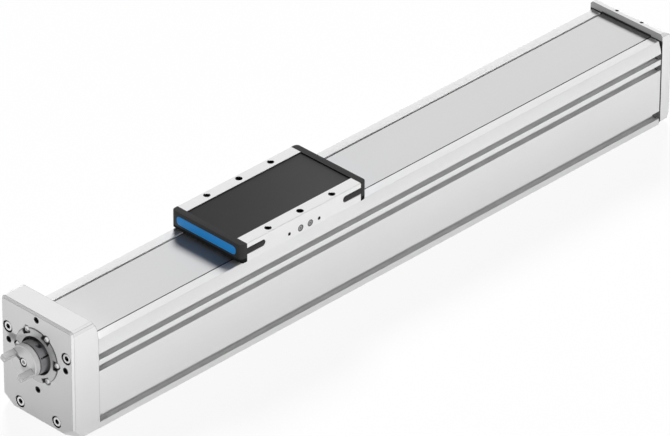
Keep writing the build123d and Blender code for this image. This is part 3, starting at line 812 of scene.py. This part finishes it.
def button_head(name, tip, centre, turn):
    """Round-headed screw, its head's radius R sqrt(1 - (1 - h)^2) for h from 0, the crown, to 1, the rim."""
    radius, rise, key, shank = 4.0, 3.4, 1.5, 2.5
    socket = [(2.6, 0.02), (2.2, 1.3), (2.2, key, 6), (0.5, key, 6), (0.3, 1.8)]
    dome = [(rise * h, radius * math.sqrt(1 - (1 - h) ** 2)) for h in np.linspace(0.13, 1, 8)]
    rod = [(5.0, radius), (5.0, shank), (20.0, shank), (20.5, 2.1)]
    stations = [(tip + x, *section) for x, *section in socket + dome + rod]
    return skin(name, turned(stations, centre, 72, turn), "base", smooth=40)


def build_screws():
    """Visible socket screws of both caps and the bearing flange.

    head is the cap screws' radius, height, key and shank; circle is the radius of the flange screws' ring.
    """
    head, sunk, circle = (6.4, 8.0, 3.1, 4.0), 8.5, 32.5
    capped = ground_steel("cap_screw_surface", tuple(colours().screws), 0.3, cap_socket_shade)
    places = [(side * y, z) for y, z in CAP_SCREWS for side in (-1, 1)]
    for cap, seat, reach, facing, step in (("front", FRONT_FACE + sunk, 50.5, -1, 0.3),
                                           ("rear", REAR_FACE - sunk, 27.0, 1, 0.4)):
        heads = [socket_head(f"{cap}_{i}", seat, *head, reach, at, facing, turn=step * i)
                 for i, at in enumerate(places)]
        piece = coat(merged(f"{cap}_cap_socket_screws", heads, "base"), capped)
        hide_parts(f"{cap}_cap_screws")
    tip = float(span("bearing_flange_screws")[0][0])
    ring = []
    for i in range(6):
        a = math.radians(60 * i)
        at = (circle * math.cos(a), SPINDLE_Z + circle * math.sin(a))
        ring.append(button_head(f"ring_{i}", tip, at, 0.5 * i))
    piece = coat(merged("flange_socket_screws", ring, "base"), plated_steel())
    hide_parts("bearing_flange_screws")


# Drive hub
def claw_rings(angle):
    """One claw: its section is bounded by two arcs round the axis and two flats, and shrinks at the tip."""
    tip, root = float(HUB[0][0]), HUB_FACE + 0.6
    half, inner, outer, edge = 3.75, 12.0, 20.1, 0.7
    side = np.linspace(-half, half, 9)
    arc = np.column_stack([side, np.sqrt(outer ** 2 - side ** 2), np.where(abs(side) == half, edge, 0.0)])
    base = np.column_stack([side[[-1, 0]], np.full(2, inner), np.full(2, edge)])
    outline = rounded(np.vstack([arc, base]), 3)
    c, s = math.cos(math.radians(angle - 90)), math.sin(math.radians(angle - 90))
    turn = np.array([[c, -s], [s, c]])
    rings = []
    for x, by in ((tip, 1.0), (tip + 0.25, 0.45), (tip + 0.9, 0.0), (root, 0.0)):
        ring = inset(outline, by) @ turn.T
        rings.append(np.column_stack([np.full(len(ring), x), ring[:, 0], ring[:, 1] + SPINDLE_Z]))
    return np.array(rings)


def hub_disc():
    """Grid over the hub disc: angle round the axis, and distance along its turned section.

    The section is given as (radius, depth behind the face). Points of the front face between the recess and
    the claw that lie within the groove's half width are lowered to the groove's floor.
    """
    recess = [(3.2, 6.5), (5.4, 6.5), (5.8, 6.1), (5.8, 0.3), (6.1, 0.0)]
    face = [(radius, 0.0) for radius in np.linspace(6.6, 12.4, 15)]
    rim = [(14.0, 0.0), (16.0, 0.0), (18.0, 0.0), (19.8, 0.0), (20.3, 0.35), (20.9, 0.9), (21.2, 1.6)]
    groove_half, groove_end, groove_floor = 2.0, 12.2, 3.0
    radii, depth = np.array(recess + face + rim).T[..., None]
    lead = np.radians(CLAW_ANGLE)
    a = lead + np.linspace(0, 2 * math.pi, 240, endpoint=False)
    in_groove = (np.cos(a - lead) > 0) & (np.abs(radii * np.sin(a - lead)) < groove_half)
    in_groove = in_groove & (radii < groove_end) & (depth < groove_floor)
    x = HUB_FACE + np.where(in_groove, groove_floor, depth)
    rings = np.stack([x, radii * np.cos(a), SPINDLE_Z + radii * np.sin(a)], -1)
    back = float(HUB[1][0])
    tail = turned([(back - 0.6, 21.2), (back, 20.7), (back, 3.2)], (0.0, SPINDLE_Z), 240, lead)
    return np.concatenate([rings, tail])


def build_hub():
    """Hub disc with its recess, groove and two claws, and the screw in the recess."""
    steel = turned_steel("turned_hub_steel", tuple(colours().steel), hub_recess_shade, 0.0006)
    disc = skin("disc", hub_disc(), "spindle", loop=True)
    claws = [skin(f"claw_{i}", claw_rings(CLAW_ANGLE + 180 * i), "spindle", smooth=20)
             for i in (0, 1)]
    piece = coat(merged("drive_hub", [disc] + claws, "spindle"), steel)
    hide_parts("coupling_hub")
    radius, height, key, shank = 4.8, 6.0, 2.35, 3.0
    seat = float(CENTRE_SCREW[0][0]) + height
    reach = float(CENTRE_SCREW[1][0]) - seat
    screw = socket_head("hub_centre_screw", seat, radius, height, key, shank, reach, (0.0, SPINDLE_Z),
                        body="spindle")
    coat(screw, plated_steel())
    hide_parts("centre_screw")


def build_spindle():
    """Ball screw with two ball tracks, half a turn apart.

    The radius at angle a and place x is R less depth times max(0, cos(a - 2 pi x / lead))^6, and less the
    same with a + pi. Both are cut only between the journals. nose and tail are (x, radius).
    """
    s = sizes()
    lead, depth = mm(s.screw_lead), mm(s.track_depth)
    low, high = float(SCREW[0][0]), float(SCREW[1][0])
    seat, shoulder = (float(corner[0]) for corner in span("front_bearing_inner"))
    end = float(span("rear_bearing_inner")[0][0]) - 1.0
    rod, step = 12.5, 2.2
    body = np.arange(shoulder + 0.5, end - 0.5, step)
    nose = [(low, 7.4), (low + 0.5, 7.9), (seat, 7.9), (seat, 9.9), (shoulder, 9.9), (shoulder, 12.0)]
    tail = [(end, 12.0), (end, 7.4), (high - 0.5, 7.4), (high, 6.9)]
    xs, radius = np.array(nose + [(x, rod) for x in body] + tail).T[..., None]
    cut = np.concatenate([np.zeros(len(nose)), np.ones(len(body)), np.zeros(len(tail))])[:, None]
    a = np.linspace(0, 2 * math.pi, 48, endpoint=False)
    phase = 2 * math.pi * xs / lead
    tracks = np.clip(np.cos(a - phase), 0, 1) ** 6 + np.clip(np.cos(a + math.pi - phase), 0, 1) ** 6
    r = radius - depth * cut * tracks
    rings = np.stack([np.broadcast_to(xs, r.shape), r * np.cos(a), SPINDLE_Z + r * np.sin(a)], -1)
    piece = coat(skin("threaded_spindle", rings, "spindle", smooth=50), hidden_steel())
    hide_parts("ball_screw")


# Carriage
def build_cover():
    """Black cover between the carriage's strips: an end view carried along X.

    It is a little lower than the strips, with a thin lip along each wall.
    """
    low, high = COVER
    w, z0, z1 = float(high[1]) - 0.05, float(low[2]), float(high[2])
    lip = z1 - 0.15
    half = [(w, z0, 0.2), (w, lip, 0.1), (w - 0.3, lip, 0.1), (w - 0.35, z1 - 1.4, 0.1)]
    outline = rounded(half + [(-y, z, r) for y, z, r in reversed(half)], 3)
    stations = [(low[0] + 0.1, 0.08), (low[0] + 0.25, 0.0), (high[0] - 0.25, 0.0), (high[0] - 0.1, 0.08)]
    piece = skin("cover_plate", along_x(outline, stations), "carriage")
    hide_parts("carriage_cover")
    coat(piece, shared("black_cover_moulding", moulded, rgba(colours().black, 0.50), 0.55))


def arm_rings(root, tip):
    """Round-tipped arm in the carriage's side: a stadium outline in side view carried across the wall."""
    z, r = 133.4, 4.2
    a = np.linspace(-math.pi / 2, math.pi / 2, 13)
    nose = np.column_stack([tip - r + r * np.cos(a), z + r * np.sin(a)])
    outline = np.vstack([[root, z - r], nose, [root, z + r]])
    y = float(CARRIAGE[0][1])
    return across_y(outline, [(y + 0.15, 0.5), (y + 0.35, 0.15), (y + 0.65, 0.0), (y + 3.0, 0.0)])


def cap_plate():
    """End cap plate.

    Every ring is the end view outline, its half width less R (1 - sqrt(1 - t^2)), where t falls from 1 at the
    front to 0 at the depth R, so the upright corners are round. The upper edge draws in by a small bevel and
    the foot steps back under the face.
    """
    low, high = END_CAP
    w, z0, z1 = float(high[1]), float(low[2]), float(high[2])
    corner, bevel, face, step = 6.0, 0.5, 2.9, 2.4
    depth = np.array([0.02, 0.12, 0.35, 0.8, 1.5, 2.4, 2.85, 2.95, 3.8, 4.8, corner])
    pull = corner * (1 - np.sqrt(1 - (1 - depth / corner) ** 2))
    crown = np.clip(bevel - depth, 0, bevel)
    foot = np.where(depth < face, step, 0.0)
    rings = []
    plain_back = (float(CARRIAGE[0][0]), 0.0, 0.0, 0.0)
    for x, inward, down, up in [*zip(low[0] + depth, pull, crown, foot), plain_back]:
        y, under, over = w - inward, z0 + up, z1 - down
        ring = rounded([(-y, under, 0.8), (y, under, 0.8), (y, over, 0.9), (-y, over, 0.9)], 5)
        rings.append(np.column_stack([np.full(len(ring), x), ring]))
    return np.array(rings)


def build_end_caps():
    """Moulded end caps: plate with round upright corners, an arm on each side, and the blue bar.

    The bar is a stadium outline in end view carried along X.
    """
    arm_length, lip = 30.0, 2.6
    back = float(CARRIAGE[0][0])
    plate, arm = cap_plate(), arm_rings(back - 0.5, back + arm_length)
    low, high = BAR
    mid, half, r = float(low[2] + high[2]) / 2, float(high[1]), float(high[2] - low[2]) / 2
    # Painted shade: below lip under the bar the cap is near black, as shade at its foot
    black = moulded("black_end_cap", rgba(colours().black, 0.50), 0.5, mid - r - lip)
    blue = shared("blue_bar_moulding", moulded, tuple(colours().blue), 0.42)
    stadium = rounded([(-half, mid - r, r), (half, mid - r, r), (half, mid + r, r), (-half, mid + r, r)], 10)
    bar = along_x(stadium, [(low[0], 1.6), (low[0] + 0.12, 0.8), (low[0] + 0.4, 0.25), (low[0] + 0.9, 0.0),
                            (high[0], 0.0)])
    for end, place in (("front", np.array), ("rear", flipped)):
        parts = [skin(f"{end}_{i}", place(rings), "carriage")
                 for i, rings in enumerate((plate, arm, other_side(arm)))]
        piece = coat(merged(f"cap_{end}_moulding", parts, "carriage"), black)
        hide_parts(f"end_cap_{end}")
        piece = coat(skin(f"bar_{end}", place(bar), "carriage"), blue)
        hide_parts(f"accent_bar_{end}")


def build_nipples():
    """Funnel grease nipples, two on each side, flush with the wall: a section (outward, radius) turned."""
    low, high = span("grease_nipples")
    z, side = float(low[2] + high[2]) / 2, float(high[1])
    section = [(-8, 2.9), (-0.3, 2.9), (0, 2.6), (0, 1.7), (-0.5, 1.4), (-5, 1.3), (-5, 0.02)]
    rings = turned([(side + out, radius) for out, radius in section], (0.0, z), 40)[..., [1, 0, 2]]
    parts = []
    for x in (NIPPLE_MID - NIPPLE_APART, NIPPLE_MID + NIPPLE_APART):
        placed = rings + np.array([CARRIAGE_X + x, 0.0, 0.0])
        for k, ring in enumerate((placed, other_side(placed))):
            parts.append(skin(f"nipple_{x}_{k}", ring, "carriage"))
    piece = merged("nipple_set", parts, "carriage")
    coat(piece, ground_steel("nipple_surface", rgba(colours().screws, 0.55)[:3], 0.3))
    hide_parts("grease_nipples")


# CAD nodes that keep their own shape
def finish_cad_nodes():
    """Give every CAD node that no new piece replaces its finish."""
    steel, flange, collar = colours().steel, colours().flange, colours().collar
    black = rgba(colours().black, 0.36)
    by_finish = {
        # The masks and line widths below paint shade into holes, pockets and along edges
        milled("milled_plate"): ("nut_housing",),
        milled("front_cap_plate", front_cap_hole_shade, lines=0.0010, lines_from=14.5): ("front_cap",),
        milled("rear_cap_plate", rear_cap_shade_and_joint, rear_face_shade, 0.0008): ("rear_cap",),
        milled("carriage_plate", carriage_hole_shade, nipple_ring_shade): ("carriage_body",),
        turned_steel("flange_steel", flange, flange_pocket_shade, 0.0006): ("bearing_flange",),
        turned_steel("collar_steel", collar, lines=0.0005): ("clamp_collar",),
        turned_steel("turned_steel_surface", steel): (
            "ball_nut", "lock_nut", "front_bearing_outer", "front_bearing_inner", "rear_bearing_outer",
            "rear_bearing_inner"),
        hidden_steel(): ("guide_rail", "guide_block_front", "guide_block_rear"),
        plated_steel(): ("band_set_screws", "rail_screws", "clamp_screw", "guide_block_screws", "nut_screws"),
        moulded("gasket_sheet", grey(0.10), 0.7): ("rear_gasket",),
        shared("dull_rubber", rubber): ("front_buffers", "rear_buffers", "wiper_front", "wiper_rear"),
        shared("black_cap_moulding", moulded, black, 0.5): (
            "band_ramp_front", "band_ramp_rear", "band_clamp_front", "band_clamp_rear"),
        moulded("magnet_surface", (0.03, 0.026, 0.024), 0.6): ("magnet_strip_left", "magnet_strip_right"),
    }
    for material, nodes in by_finish.items():
        for node in nodes:
            coat(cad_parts[node], material)


# Stage
def floor_white(keep):
    """Pale matt floor that camera, mirrors and glass see near white, keeping a share of its light and shadow.

    What it throws back on the object is held low, so that the faces behind don't clip.
    """
    thrown_back, seen = grey(0.26), grey(0.90)
    f = Finish("floor_white")
    f.set(Base_Color=f.tint(f.seen(), thrown_back, seen), Roughness=0.9, Specular_IOR_Level=0.0)
    glow = f.node("ShaderNodeEmission", {}, {"Color": grey(1.0), "Strength": 1.0})
    matt = Value(f, f.shader.outputs[0])
    mix = f.node("ShaderNodeMixShader", {}, {0: f.seen() * (1 - keep), 1: matt, 2: glow})
    f.feed(f.output.inputs["Surface"], mix)
    return f.material


def build_floor():
    """Round floor: a flat disc just under the object, made of four rings and closed above and below."""
    hub, rim, under, top = 60, 9000, -4.0, -0.1
    a = np.linspace(0, 2 * math.pi, 64, endpoint=False)
    rings = [np.column_stack([r * np.cos(a), r * np.sin(a), np.full(64, z)])
             for r, z in ((hub, under), (rim, under), (rim, top), (hub, top))]
    floor = in_scene("floor", surface_mesh("floor", np.array(rings)))
    coat(floor, floor_white(keep=0.08))


def sun(name, towards, strength, angle):
    """Soft sun that leaves no gloss; towards is the direction from the object to the lamp."""
    lamp = bpy.data.lights.new(name, "SUN")
    lamp.energy, lamp.angle = strength, math.radians(angle)
    obj = in_scene(name, lamp)
    obj.visible_glossy = False
    obj.rotation_euler = Vector(towards).to_track_quat("Z", "Y").to_euler()


def build_world(strength):
    """Even studio light, seen as white by camera, mirrors and glass."""
    world = bpy.data.worlds.new("studio")
    bpy.context.scene.world = world
    world.use_nodes = True
    world.node_tree.nodes.clear()
    f = Nodes(world.node_tree)
    dim = f.node("ShaderNodeBackground", {}, {"Color": grey(1.0), "Strength": strength})
    white = f.node("ShaderNodeBackground", {}, {"Color": grey(1.0), "Strength": 1.0})
    mix = f.node("ShaderNodeMixShader", {}, {0: f.seen(), 1: dim, 2: white})
    f.node("ShaderNodeOutputWorld", {}, {"Surface": mix}, None)


def build_camera():
    """Long lens from above the drive end, placed by fitting the photograph's straight edges."""
    lens = bpy.data.cameras.new("camera")
    lens.sensor_fit, lens.sensor_width, lens.lens = "HORIZONTAL", 36.0, 369.9
    lens.clip_start, lens.clip_end = 0.5, 40.0
    right = Vector((0.702471, -0.711699, 0.004394))
    down = Vector((-0.374699, -0.375075, -0.847891))
    ahead = Vector((0.605092, 0.593972, -0.530152))
    place = Matrix.Translation((-5.0032, -4.8800, 4.4182))
    camera = in_scene("camera", lens)
    camera.matrix_world = place @ Matrix((right, -down, -ahead)).transposed().to_4x4()
    bpy.context.scene.camera = camera


def build_stage():
    """Floor, three soft suns, the world and the camera."""
    build_floor()
    sun("key", (0.56, 0.56, 0.61), strength=5.05, angle=16)
    sun("front_fill", (-0.80, -0.60, 0.0), strength=3.3, angle=6)
    sun("side_fill", (0.15, -0.98, 0.0), strength=2.4, angle=6)
    build_world(strength=0.03)
    build_camera()
    bpy.context.scene.view_settings.view_transform = "Standard"


# Operators
class AXIS_OT_profile(bpy.types.Operator):
    """Build the extruded profile and the feet of the front cap"""
    bl_idname, bl_label = "axis.profile", "Profile"

    def execute(self, context):
        build_profile()
        build_cap_feet()
        return {"FINISHED"}


class AXIS_OT_band(bpy.types.Operator):
    """Build the steel cover band in three runs"""
    bl_idname, bl_label = "axis.band", "Cover band"

    def execute(self, context):
        build_band()
        return {"FINISHED"}


class AXIS_OT_screws(bpy.types.Operator):
    """Build the socket screws of both caps and the bearing flange"""
    bl_idname, bl_label = "axis.screws", "Socket screws"

    def execute(self, context):
        build_screws()
        return {"FINISHED"}


class AXIS_OT_drive(bpy.types.Operator):
    """Build the two-claw hub and the ball screw"""
    bl_idname, bl_label = "axis.drive", "Hub and ball screw"

    def execute(self, context):
        build_hub()
        build_spindle()
        return {"FINISHED"}


class AXIS_OT_carriage(bpy.types.Operator):
    """Build the carriage's cover, end caps, bars and grease nipples"""
    bl_idname, bl_label = "axis.carriage", "Carriage"

    def execute(self, context):
        build_cover()
        build_end_caps()
        build_nipples()
        return {"FINISHED"}


class AXIS_OT_finishes(bpy.types.Operator):
    """Give the remaining CAD pieces their finishes"""
    bl_idname, bl_label = "axis.finishes", "Finishes"

    def execute(self, context):
        finish_cad_nodes()
        return {"FINISHED"}


class AXIS_OT_stage(bpy.types.Operator):
    """Build the floor, light and camera"""
    bl_idname, bl_label = "axis.stage", "Stage"

    def execute(self, context):
        build_stage()
        return {"FINISHED"}


class AXIS_PT_panel(bpy.types.Panel):
    """Lists the sizes, colours and steps"""
    bl_label, bl_idname = "Ball screw axis", "AXIS_PT_panel"
    bl_space_type, bl_region_type, bl_category = "VIEW_3D", "UI", "Axis"

    def draw(self, context):
        for group in (context.scene.axis_sizes, context.scene.axis_colours):
            for name in group.__annotations__:
                self.layout.prop(group, name)
        for operator in STEPS:
            self.layout.operator(operator.bl_idname)


STEPS = (AXIS_OT_profile, AXIS_OT_band, AXIS_OT_screws, AXIS_OT_drive, AXIS_OT_carriage, AXIS_OT_finishes,
         AXIS_OT_stage)
CLASSES = (AxisSizes, AxisColours) + STEPS + (AXIS_PT_panel,)


def register():
    for cls in CLASSES:
        bpy.utils.register_class(cls)
    bpy.types.Scene.axis_sizes = PointerProperty(type=AxisSizes)
    bpy.types.Scene.axis_colours = PointerProperty(type=AxisColours)


def unregister():
    del bpy.types.Scene.axis_colours, bpy.types.Scene.axis_sizes
    for cls in reversed(CLASSES):
        bpy.utils.unregister_class(cls)


def main():
    register()
    bpy.ops.axis.profile()
    bpy.ops.axis.band()
    bpy.ops.axis.screws()
    bpy.ops.axis.drive()
    bpy.ops.axis.carriage()
    bpy.ops.axis.finishes()
    bpy.ops.axis.stage()


if __name__ == "__main__":
    main()
